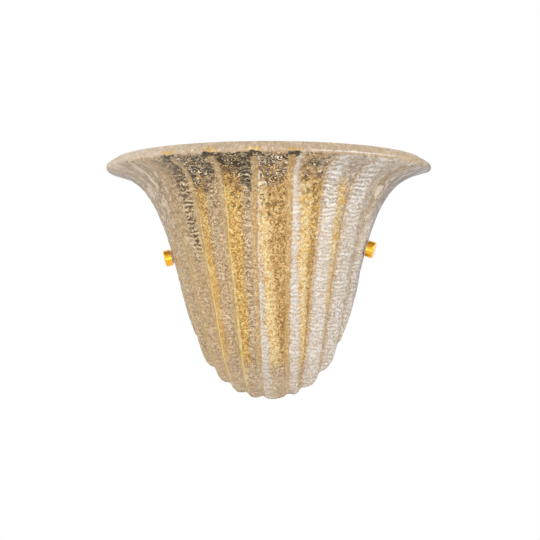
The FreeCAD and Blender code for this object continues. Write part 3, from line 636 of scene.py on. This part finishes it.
class GlassTexture:
    """The patterns of the surface, each from 0, dark, to 1, light. Sizes are in mm."""
    STROKE, STROKE_WAVES = 6.4, 2.3
    RUNG_BEND, RUNG_BREAK = 12.0, 5.0
    VEIN, VEIN_WAVES = 13.0, 2.0
    STREAK, STREAK_WAVES = 3.4, 1.7

    def __init__(self, field, zones, settings):
        # grit about 2 mm apart under curled strokes 3 mm apart, light by dark like crumpled foil
        self.grit = field.noise(settings.grain_size / MM, 2.0, 1.2, roughness=0.6)
        slow = field.noise(self.STROKE, 3.0, 1.6, field.stretched(1.0, 1.15))
        curl = field.waves(field.rescaled(slow, self.STROKE_WAVES))
        self.grain = field.sharpened(field.mix(0.5, self.grit, curl), 1.5)
        # rungs across the flanks, bent and broken
        bent = field.rescaled(field.noise(self.RUNG_BEND, 1.0), 1.0, field.rescaled(
            zones.level, MM / settings.rung_pitch))
        broken = field.above(field.noise(self.RUNG_BREAK, 2.0), 0.5, 0.25)
        self.rung = field.sharpened(field.mix(broken, field.waves(bent), curl), 1.3)
        # light veins round the dark cells of painted shade, 4 to 6 mm across, under the lip
        vein = field.noise(self.VEIN, 2.0, 1.2, field.stretched(1.0, 1.8))
        folded = field.size(field.rescaled(field.waves(
            field.rescaled(vein, self.VEIN_WAVES)), 2.0, -1.0))
        self.vein = field.sharpened(field.plus(
            field.below(folded, 0.4, 0.22), field.rescaled(self.grit, 0.6, -0.3)), 1.6)
        # wrinkles that run up the wings and over the lip: one lobe counts as 22 mm
        along = field.made("ShaderNodeCombineXYZ", field.rescaled(zones.number, 22.0 * MM),
                           field.rescaled(zones.level, 0.3 * MM))
        slow = field.noise(self.STREAK, 3.0, 1.0, along)
        wrinkle = field.waves(field.rescaled(slow, self.STREAK_WAVES))
        self.streak = field.sharpened(field.mix(0.45, wrinkle, self.grit), 1.7)


class GlassMarks:
    """Masks from 0 to 1 for what the grit and the folds left in the glass, and for painted shade,
    painted shadows and painted highlights.

    Each has its heights in mm, and its lobes as GlassZones counts them.
    """
    # painted shade: dark cells under the lip, and loose dark specks below them
    CELLS, CELLS_LOBE = (95.0, 125.0), 2.5
    SPECKS, SPECKS_LOBE = (74.0, 105.0), 2.2
    # the wrinkled glass at both sides, high up
    WING, WING_LOBE, WING_LEAN = 40.0, 3.5, 0.008
    # on the left half: a broken ladder of rungs and short ones under the lip, both dark painted
    # shade, and gold side lobes
    LADDER, LADDER_LOBES = (25.0, 106.0), (2.06, 2.36)
    STEPS, STEPS_LOBE, STEPS_ACROSS = (98.0, 122.0), 2.3, (0.1, 0.36)
    SIDE, SIDE_LOBE = 45.0, 2.1
    # on the right half: creases high in the painted reflection on the flanks, and yellow nuggets
    # beside them
    WRINKLES, WRINKLES_LOBE = 52.0, 1.95
    NUGGETS, NUGGETS_LOBES = (35.0, 96.0), (1.05, 2.9)
    # painted shadows where the grooves end under the lip, gold flecks above them, and a painted
    # glint on the lip's edge
    HEADS, FLECKS, HEADS_LOBE = (95.6, 98.4), (99.0, 102.4), 2.7
    GLINT, GLINT_LOBES = (101.2, 102.1), (1.4, 3.5)
    # painted highlights: bright lines beside the grooves near the middle, by how far across a lobe
    # they lie
    YELLOW_LINE, YELLOW_LINE_TOP = (0.81, 0.92), 96.0
    WHITE_LINE = (0.09, 0.14)
    # glass with no marks of its own: calm low on the left and at the foot, and the paler foot
    CALM_LEFT, CALM_LOBE, CALM_FOOT, FOOT = 40.0, 1.2, -88.0, -80.0

    def __init__(self, field, zones):
        times, between, above, below = field.times, field.between, field.above, field.below
        level, number, across = zones.level, zones.number, zones.across
        left, right, lobe, body = zones.left, zones.right, zones.lobe, zones.body
        ragged = field.rescaled(field.rescaled(field.noise(5.0), 0.35, zones.cloud), 30.0, level)
        off_flank = field.less(zones.right_flank)

        patches = above(field.rescaled(right, -0.15, field.noise(11.0, 1.0)), 0.2, 0.15)
        near = below(field.rescaled(right, 0.3, number), self.CELLS_LOBE, 0.6)
        self.cells = times(body, between(ragged, *self.CELLS, 9.0), near, lobe, patches, off_flank)
        self.specks = times(
            body, between(ragged, *self.SPECKS, 9.0), above(field.noise(4.2, 1.0, 1.0), 0.72, 0.05),
            below(number, self.SPECKS_LOBE, 0.5), off_flank)
        # the wings reach further in on the left half, most of all under the lip
        outward = field.rescaled(right, -0.2, number)
        self.wing = times(
            body, above(field.rescaled(times(left, level), self.WING_LEAN, outward),
                        self.WING_LOBE, 0.4), above(level, self.WING, 25.0))
        self.ladder = times(
            left, body, between(number, *self.LADDER_LOBES, 0.07),
            between(ragged, *self.LADDER, 14.0), above(field.noise(8.0, 1.0), 0.3, 0.2))
        self.steps = times(
            left, body, lobe, between(across, *self.STEPS_ACROSS, 0.06),
            between(ragged, *self.STEPS, 6.0), below(number, self.STEPS_LOBE, 0.4))
        self.side = times(left, body, above(number, self.SIDE_LOBE, 0.15),
                          below(ragged, self.SIDE, 25.0))
        self.wrinkles = times(zones.right_flank, above(level, self.WRINKLES, 26.0),
                              above(number, self.WRINKLES_LOBE, 0.1))
        self.calm_left = times(left, body, above(number, self.CALM_LOBE, 0.2),
                               below(ragged, self.CALM_LEFT, 30.0))
        self.calm_foot = times(body, below(level, self.CALM_FOOT, 22.0))
        self.foot = times(body, below(ragged, self.FOOT, 16.0))

        # painted reflection: the gold plate as seen through the glass, lighter and darker in places
        on_gold = times(zones.gold, lobe, body)
        # on the left half the gold is wider on the lobes nearer the middle
        out = field.rescaled(number, -0.12, across)
        self.left_gold = times(on_gold, left, above(out, 0.34, 0.09), below(across, 0.93, 0.03))
        self.right_gold = times(on_gold, right, between(zones.past, 0.02, 0.27, 0.09))
        self.deep_gold = times(on_gold, field.plus(
            times(right, between(across, 0.68, 0.9, 0.12), 0.55),
            times(left, between(out, 0.2, 0.34, 0.07))))
        self.nuggets = times(
            right, body, above(field.noise(5.5, 1.0, 0.6), 0.62, 0.05),
            between(ragged, *self.NUGGETS, 8.0), between(number, *self.NUGGETS_LOBES, 0.05),
            field.less(times(zones.flank, 0.85)))

        broken = field.noise(5.0, 1.0)
        low, high = self.YELLOW_LINE
        self.yellow_line = times(
            left, above(field.rescaled(level, -0.0008, across), low, 0.015),
            below(across, high, 0.015), body, below(number, 2.0, 0.1),
            below(field.rescaled(number, 22.0, level), self.YELLOW_LINE_TOP, 5.0),
            above(broken, 0.15, 0.2))
        self.white_line = times(right, between(across, *self.WHITE_LINE, 0.02),
                                below(number, 0.6, 0.2), body, above(broken, 0.5, 0.3))
        # painted shadows at the heads of the grooves, gold flecks above them, and a painted glint
        # on the rim
        at_head = times(
            zones.outside, below(field.rescaled(broken, 0.2, zones.from_groove), 0.26, 0.04),
            below(field.rescaled(right, 0.9, number), self.HEADS_LOBE, 0.2))
        ragged_head = field.rescaled(broken, -3.5, level)
        self.heads = times(at_head, between(ragged_head, *self.HEADS, 0.5))
        self.flecks = times(at_head, between(ragged_head, *self.FLECKS, 0.7))
        first, last = self.GLINT_LOBES
        self.glint = times(
            right, zones.outside, between(level, *self.GLINT, 0.35), above(number, first, 0.3),
            below(number, last, 0.25), above(broken, 0.2, 0.3))


def glass_tone(field, zones, texture, marks):
    """Light and dark over the glass: each pattern, or even tone, over the ones before it."""
    tone = texture.grain
    for share, mask, pattern in (
            (0.5, zones.right_flank, texture.rung),
            (0.3, zones.left_flank, texture.rung),
            (0.9, marks.cells, texture.vein),
            (0.8, marks.wing, texture.streak),
            (0.7, marks.ladder, field.rescaled(texture.rung, 1.2, -0.35)),
            (0.45, marks.steps, texture.rung),
            (0.3, zones.groove, 0.55),
            (0.2, field.times(zones.right_flank, field.above(zones.level, 20.0, 45.0)), 0.6),
            (0.55, marks.wrinkles, texture.rung),
            (0.2, marks.calm_foot, 0.55),
            (0.28, marks.calm_left, 0.56),
            (0.5, zones.lip, texture.streak),
            (0.2, zones.lip, 0.52)):
        tone = field.mix(field.times(mask, share), tone, pattern)
    return tone


def glass_layers(field, zones, texture, marks, settings):
    """Each kind of surface: how much of it there is, then its dark, middle and light colours."""
    times, above, between = field.times, field.above, field.between
    left, right, number, across = zones.left, zones.right, zones.number, zones.across
    gold = settings.gold_dark, settings.gold, settings.gold_light
    silver = settings.silver_dark, settings.silver, settings.silver_light
    return (
        # painted shade: the outer lobes of the left half are darker and browner
        (times(left, above(number, 2.4, 0.8), 0.7), hexes("#7d5a32", "#c09a62", "#efd8a8")),
        (times(right, above(number, 1.9, 0.6), 0.9), hexes("#917c66", "#cdbba4", "#f6ece0")),
        # painted reflection: the gold plate seen through the glass, with its darker and paler parts
        (zones.gold, hexes("#86561c", "#d8a45a", "#ffe4a6")),
        (times(marks.deep_gold, 0.9), hexes("#6a4210", "#c28e42", "#f8d690")),
        (marks.left_gold, gold),
        (marks.right_gold, hexes("#c99340", "#ffdd94", "#fff8d2")),
        # painted reflection on the flanks that face the middle, grey-beige on the left half
        (times(zones.left_flank, 0.9), hexes("#82684a", "#c6a87c", "#f6e4c6")),
        (times(marks.side, between(across, 0.42, 0.84, 0.12), 0.5),
         hexes("#946a2e", "#dcb064", "#fce6ae")),
        (times(marks.side, between(across, 0.84, 0.93, 0.02), 0.6),
         hexes("#c9a868", "#f0d6a0", "#fff4d8")),
        # painted reflection on the flanks of the right half, silver-white, creased high up
        (times(zones.right_flank, field.mix(above(number, 3.0, 0.3), 0.92, 0.6)), silver),
        (times(marks.wrinkles, 0.65), hexes("#9c8b79", "#dfd2c4", "#fdfcfa")),
        (times(marks.nuggets, 0.85), hexes("#bf8626", "#f6c458", "#ffeaa6")),
        # painted shade: dark cells, specks, short rungs and the ladder
        (times(marks.cells, left, 0.95), hexes("#1c1307", "#6c532f", "#ffe6ba")),
        (times(marks.cells, right, field.mix(above(number, 1.0, 0.1), 0.85, 0.7)),
         hexes("#1c1307", "#8e7652", "#fff1d8")),
        (times(marks.specks, 0.85), hexes("#2c2213", "#5a4626", "#a88850")),
        (times(marks.steps, 0.9), hexes("#221a0e", "#6e5f47", "#ecd8b0")),
        (times(marks.ladder, 0.85), hexes("#3a2c19", "#9a8058", "#e6d0a6")),
        (times(zones.groove, left, 0.85), hexes("#a88a60", "#d2b68c", "#f6e2bc")),
        (times(zones.groove, right, 0.85), hexes("#a87c40", "#d8b074", "#fbe4b2")),
        # painted highlights beside the grooves
        (marks.yellow_line, hexes("#f0b848", "#ffdc78", "#fff8cc")),
        (marks.white_line, hexes("#cfc6c0", "#f2eeee", "#ffffff")),
        (times(marks.wing, left, 0.85), hexes("#957f66", "#cdb596", "#fbeeda")),
        (times(marks.foot, 0.5), hexes("#8f7454", "#cab293", "#f8ecda")),
        (zones.lip, hexes("#a88c6c", "#d0b695", "#f0dfc6")),
        # painted light: the lip is paler on its left half
        (times(zones.lip, left, above(number, 1.6, 1.3), 0.85),
         hexes("#c0a88c", "#e4d0b6", "#fff6e8")),
        # painted shadow at the heads of the grooves
        (marks.heads, hexes("#1c150b", "#33291a", "#7d6b48")),
        (times(marks.flecks, above(texture.grit, 0.4, 0.15)),
         hexes("#a06c1c", "#e2b457", "#ffe69c")),
        # painted glint on the rim
        (marks.glint, hexes("#d8d2ce", "#f6f5f5", "#ffffff")),
        # painted shade: next to the wall the glass is painted grey, as if in shadow
        (times(above(number, 4.45, 0.3), 0.75), hexes("#6f6768", "#8f8689", "#c9c3c4")),
    )


def hexes(*hex_colours):
    """A layer's dark, middle and light colours."""
    return [linear(hex_colour) for hex_colour in hex_colours]


def granular_glass(settings):
    """Thick cast glass rolled in grit while hot: smooth grooves and a crust of grains on the lobes.
    Its colour also holds painted light: the gold plate as seen through it, pale reflections on
    the flanks, highlights beside the grooves and on the rim, and painted shade under the lip
    and next to the wall."""
    field = Finish("granular_cast_glass")
    zones = GlassZones(field)
    texture = GlassTexture(field, zones, settings)
    marks = GlassMarks(field, zones)
    tone = glass_tone(field, zones, texture, marks)
    shades = [rgba(shade) for shade in (settings.amber_dark, settings.amber, settings.amber_light)]
    for amount, over in glass_layers(field, zones, texture, marks, settings):
        shades = [field.blend(amount, shade, rgba(new)) for shade, new in zip(shades, over)]
    dark, middle, light = shades
    shade = field.blend(field.rising(tone, 0.0, 0.5), dark, middle)
    shade = field.blend(field.rising(tone, 0.5, 1.0), shade, light)
    # the lobes are rougher than the grooves, and the lip than either
    rough = field.rescaled(zones.lip, 0.2, field.rescaled(zones.lobe, 0.15, 0.15))
    # light comes through all but the painted shade
    clear = field.rescaled(field.plus(marks.cells, marks.specks, marks.ladder), -0.25, 0.25)
    return field.done((tone, 0.6, 1.5), colour=shade, rough=rough, transmission=clear, ior=1.45)


class WALLLIGHT_OT_glass_shade(bpy.types.Operator):
    """Model the fluted shell of glass and give it its grain"""
    bl_idname = "walllight.glass_shade"
    bl_label = "Glass Shade"

    def execute(self, context):
        settings = context.scene.wall_light_glass
        mesh = glass_mesh(settings)
        obj = bpy.data.objects.new("glass_shell", mesh)
        context.scene.collection.objects.link(obj)
        tidy_mesh(mesh)
        material = granular_glass(settings)
        apply_tree(obj, relief_tree(material), {
            "Lump size": settings.lump_size, "Lump depth": settings.lump_depth,
            "Pit size": settings.pit_size, "Pit depth": settings.pit_depth, "Seed": RELIEF_SEED})
        obj.data.shade_smooth()
        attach(obj, "wall_fixture")
        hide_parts("glass_shade")
        return {"FINISHED"}


def tidy_mesh(mesh):
    """Merge points that coincide and turn every face outwards."""
    work = bmesh.new()
    work.from_mesh(mesh)
    bmesh.ops.remove_doubles(work, verts=work.verts, dist=SAME_POINT)
    bmesh.ops.dissolve_degenerate(work, dist=SLIVER, edges=work.edges)
    bmesh.ops.recalc_face_normals(work, faces=work.faces)
    work.to_mesh(mesh)
    work.free()


# ------------------------------------------------------------------ metals and the rest

def dress(material, *nodes):
    """Give CAD pieces a finish."""
    for name in nodes:
        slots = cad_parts[name].data.materials
        slots.clear()
        slots.append(material)


def both(*names):
    """The names of the left and the right piece of each kind."""
    return [f"{side}_{name}" for side in SIDES for name in names]


def surface(finish, shade, patch, skin, rough, rough_more, strength, depth_mm, **shader):
    """A material of one shade with patches of another, and a fine skin that roughens it.

    patch is the other shade, the pattern of the patches, and where in it they start and are full.
    """
    other, mask, start, end = patch
    return finish.done(
        colour=finish.blend(finish.rising(mask, start, end), rgba(shade), rgba(other)),
        rough=finish.rescaled(skin, rough_more, rough), relief=(skin, strength, depth_mm),
        **shader)


def lacquered_sheet(settings):
    """Brass sheet polished and gold lacquered: a warm mirror with faint rolling lines."""
    finish = Finish("lacquered_brass_sheet")
    # real rolling lines are too fine to show: these are 1.1 mm apart and about 25 mm long
    lines = finish.cloud(1.0 / MM, vector=finish.stretched(40.0, 900.0))
    dull = mixed(settings.sheet, BLACK, 0.12)
    return surface(finish, dull, (settings.sheet, finish.cloud(22.22, 3.0), 0.35, 0.7), lines,
                   0.20, 0.12, 0.12, 0.2, metal=1.0, coat=0.3, coat_rough=0.1)


def lacquered_knob(settings):
    """Turned brass under orange-gold lacquer, with a fine grain and warmer patches."""
    finish = Finish("lacquered_turned_brass")
    warm = mixed(settings.knob, WARM_LACQUER, 0.3)
    # grain about 1.1 mm apart, far coarser than a lathe's marks, which would not show
    return surface(finish, settings.knob, (warm, finish.cloud(3.846, 3.0), 0.4, 0.75),
                   finish.cloud(1.111), 0.14, 0.12, 0.1, 0.1, metal=1.0, coat=0.6, coat_rough=0.06)


def turned_metal(name, shade, roughness):
    """Plain turned or pressed metal: a fine grain and slight tarnish."""
    finish = Finish(name)
    tarnished = mixed(shade, BLACK, 0.25)
    # grain about 0.7 mm apart, coarser than the real one, which would not show
    return surface(finish, shade, (tarnished, finish.cloud(5.556, 3.0), 0.45, 0.8),
                   finish.cloud(0.7143), roughness, 0.1, 0.1, 0.1, metal=1.0)


def moulded(name, hex_colour, roughness, texture_mm):
    """Moulded plastic or rubber: one colour, slightly mottled, with a fine skin texture."""
    finish = Finish(name)
    shade = linear(hex_colour)
    return surface(finish, shade, (mixed(shade, BLACK, 0.1), finish.cloud(11.11), 0.3, 0.8),
                   finish.cloud(texture_mm), roughness, 0.1, 0.15, 0.1)


def opal_glass():
    """Opal lamp glass: milky and glossy."""
    finish = Finish("opal_lamp_glass")
    shade = finish.blend(finish.cloud(16.67), rgba(linear("#f4efe4")), rgba(linear("#e9e2d2")))
    return finish.done(colour=shade, rough=0.18, coat=0.5, coat_rough=0.05)


class WALLLIGHT_OT_metalwork(bpy.types.Operator):
    """Finish the plate, brackets, shelf and rivets"""
    bl_idname = "walllight.metalwork"
    bl_label = "Metalwork"

    def execute(self, context):
        settings = context.scene.wall_light_metal
        dress(lacquered_sheet(settings), "wall_plate", "lamp_shelf", *both("bracket"))
        dress(turned_metal("brass_rivets", settings.brass, 0.2), "shelf_rivets", *both("rivets"))
        return {"FINISHED"}


class WALLLIGHT_OT_thumbscrews(bpy.types.Operator):
    """Finish the knobs, their shanks, nuts, washers and pads"""
    bl_idname = "walllight.thumbscrews"
    bl_label = "Thumbscrews"

    def execute(self, context):
        settings = context.scene.wall_light_metal
        dress(lacquered_knob(settings), *both("knob"))
        dress(turned_metal("turned_brass", settings.brass, 0.22), *both("screw", "nut"))
        dress(moulded("natural_nylon", "#e7e0d0", 0.35, 0.3), *both("washer"))
        dress(moulded("silicone_pad", "#d9d6cd", 0.5, 0.4), *both("pad"))
        return {"FINISHED"}


class WALLLIGHT_OT_lamps(bpy.types.Operator):
    """Finish the lamp holders and the lamps"""
    bl_idname = "walllight.lamps"
    bl_label = "Lamps and Holders"

    def execute(self, context):
        settings = context.scene.wall_light_metal
        dress(moulded("white_holder_plastic", "#efece3", 0.3, 0.4), *both("holder"))
        dress(turned_metal("pressed_brass", settings.brass, 0.25), *both("sleeve", "tongue"))
        dress(turned_metal("zinc_plated_steel", settings.steel, 0.28),
              *both("nipple", "nipple_nut"))
        dress(turned_metal("nickel_lamp_cap", linear("#c9c6bd"), 0.18), *both("lamp_cap"))
        dress(turned_metal("solder", linear("#a9a9a6"), 0.35), *both("lamp_button"))
        dress(opal_glass(), *both("lamp_glass"))
        return {"FINISHED"}


class WALLLIGHT_OT_wiring(bpy.types.Operator):
    """Finish the terminal block, the earth point, the grommet and the leads"""
    bl_idname = "walllight.wiring"
    bl_label = "Wiring"

    def execute(self, context):
        settings = context.scene.wall_light_metal
        dress(moulded("white_block_plastic", "#ece9df", 0.4, 0.4), "terminal_block")
        dress(turned_metal("terminal_brass", settings.brass, 0.3), "terminal_clamps")
        dress(turned_metal("zinc_screws", settings.steel, 0.25), "terminal_screws", "earth_screw")
        dress(turned_metal("tinned_copper", linear("#bfb9ac"), 0.3), "earth_tag")
        dress(moulded("black_rubber", "#1b1a19", 0.55, 0.4), "cable_grommet")
        dress(moulded("brown_silicone", "#4a2a18", 0.45, 0.5), "live_lead", "live_link")
        dress(moulded("blue_silicone", "#2a4f9c", 0.45, 0.5), "neutral_lead", "neutral_link")
        dress(moulded("green_silicone", "#4f8a2c", 0.45, 0.5), "earth_lead")
        return {"FINISHED"}


# ------------------------------------------------------------------ the studio

def seen_directly(tree):
    """1 for what the camera, a mirror or glass looks at, 0 for what only gives light."""
    path = add(tree, "ShaderNodeLightPath").outputs
    seen = path["Is Camera Ray"]
    for ray in ("Is Glossy Ray", "Is Transmission Ray"):
        seen = Field(tree).made("ShaderNodeMath", seen, path[ray], operation="MAXIMUM")
    return seen


def studio_floor(settings):
    """A pale matt floor that the camera sees as plain white."""
    material = bpy.data.materials.new("pale_matt_floor")
    tree = blank_tree(material)
    matt = add(tree, "ShaderNodeBsdfDiffuse", {"Color": rgba(settings.floor)})
    white = add(tree, "ShaderNodeEmission", {"Color": WHITE, "Strength": 1.0})
    mix = add(tree, "ShaderNodeMixShader", {
        0: seen_directly(tree), 1: matt.outputs[0], 2: white.outputs[0]})
    add(tree, "ShaderNodeOutputMaterial", {0: mix.outputs[0]})
    mesh = bpy.data.meshes.new("studio_floor")
    half = settings.floor_size / 2
    corners = ((-half, -half), (half, -half), (half, half), (-half, half))
    mesh.from_pydata([(x, y, -settings.floor_drop) for x, y in corners], [], [(0, 1, 2, 3)])
    mesh.materials.append(material)
    obj = bpy.data.objects.new("studio_floor", mesh)
    bpy.context.scene.collection.objects.link(obj)


def studio_world(settings):
    """Soft light from all round; camera, mirrors and glass see it as white."""
    world = bpy.data.worlds.new("studio")
    bpy.context.scene.world = world
    tree = blank_tree(world)
    soft = add(tree, "ShaderNodeBackground", {"Color": WHITE, "Strength": settings.soft_light})
    white = add(tree, "ShaderNodeBackground", {"Color": WHITE, "Strength": 1.0})
    mix = add(tree, "ShaderNodeMixShader", {
        0: seen_directly(tree), 1: soft.outputs[0], 2: white.outputs[0]})
    add(tree, "ShaderNodeOutputWorld", {0: mix.outputs[0]})


# Each soft box: its place and size in metres, and its watts.
SOFT_BOXES = {
    "key": ((1.3, -1.5, 0.7), 1.1, 18.0),
    "fill": ((-1.5, -1.2, 0.7), 1.3, 12.0),
    "below": ((0.0, -1.2, -0.4), 0.9, 4.0),
}


def soft_box(name, location, size, watts):
    """A square lamp that faces the light."""
    data = bpy.data.lights.new(name, "AREA")
    data.size = size
    data.energy = watts
    obj = bpy.data.objects.new(name, data)
    obj.location = location
    obj.rotation_euler = (-Vector(location)).to_track_quat("-Z", "Y").to_euler()
    bpy.context.scene.collection.objects.link(obj)


def studio_camera(settings):
    """A camera as far off as in the photo's view, and a little to the light's right."""
    data = bpy.data.cameras.new("camera")
    data.lens = data.sensor_width * settings.distance / settings.view_width
    obj = bpy.data.objects.new("camera", data)
    target = Vector((settings.look_right, 0, settings.look_up))
    back = Vector((math.sin(settings.azimuth), -math.cos(settings.azimuth), 0))
    obj.location = target + back * settings.distance
    obj.rotation_euler = (-back).to_track_quat("-Z", "Y").to_euler()
    bpy.context.scene.collection.objects.link(obj)
    bpy.context.scene.camera = obj


class WALLLIGHT_OT_stage(bpy.types.Operator):
    """Make the floor, the lamps of the studio and the camera"""
    bl_idname = "walllight.stage"
    bl_label = "Studio"

    def execute(self, context):
        settings = context.scene.wall_light_stage
        studio_floor(settings)
        studio_world(settings)
        for name, box in SOFT_BOXES.items():
            soft_box(name, *box)
        studio_camera(settings)
        context.scene.view_settings.view_transform = "Standard"
        return {"FINISHED"}


class WALLLIGHT_PT_panel(bpy.types.Panel):
    bl_label = "Wall Light"
    bl_idname = "WALLLIGHT_PT_panel"
    bl_space_type = "VIEW_3D"
    bl_region_type = "UI"
    bl_category = "Wall Light"

    def draw(self, context):
        for operator in OPERATORS:
            self.layout.operator(operator.bl_idname)


OPERATORS = (
    WALLLIGHT_OT_glass_shade, WALLLIGHT_OT_metalwork, WALLLIGHT_OT_thumbscrews,
    WALLLIGHT_OT_lamps, WALLLIGHT_OT_wiring, WALLLIGHT_OT_stage,
)
SETTINGS = {
    "wall_light_glass": GlassSettings, "wall_light_metal": MetalSettings,
    "wall_light_stage": StageSettings,
}


def register():
    for group in SETTINGS.values():
        bpy.utils.register_class(group)
    for name, group in SETTINGS.items():
        setattr(bpy.types.Scene, name, PointerProperty(type=group))
    for cls in (*OPERATORS, WALLLIGHT_PT_panel):
        bpy.utils.register_class(cls)


def unregister():
    for cls in (WALLLIGHT_PT_panel, *reversed(OPERATORS)):
        bpy.utils.unregister_class(cls)
    for name in SETTINGS:
        delattr(bpy.types.Scene, name)
    for group in reversed(SETTINGS.values()):
        bpy.utils.unregister_class(group)


def main():
    register()
    bpy.ops.walllight.glass_shade()
    bpy.ops.walllight.metalwork()
    bpy.ops.walllight.thumbscrews()
    bpy.ops.walllight.lamps()
    bpy.ops.walllight.wiring()
    bpy.ops.walllight.stage()


if __name__ == "__main__":
    main()
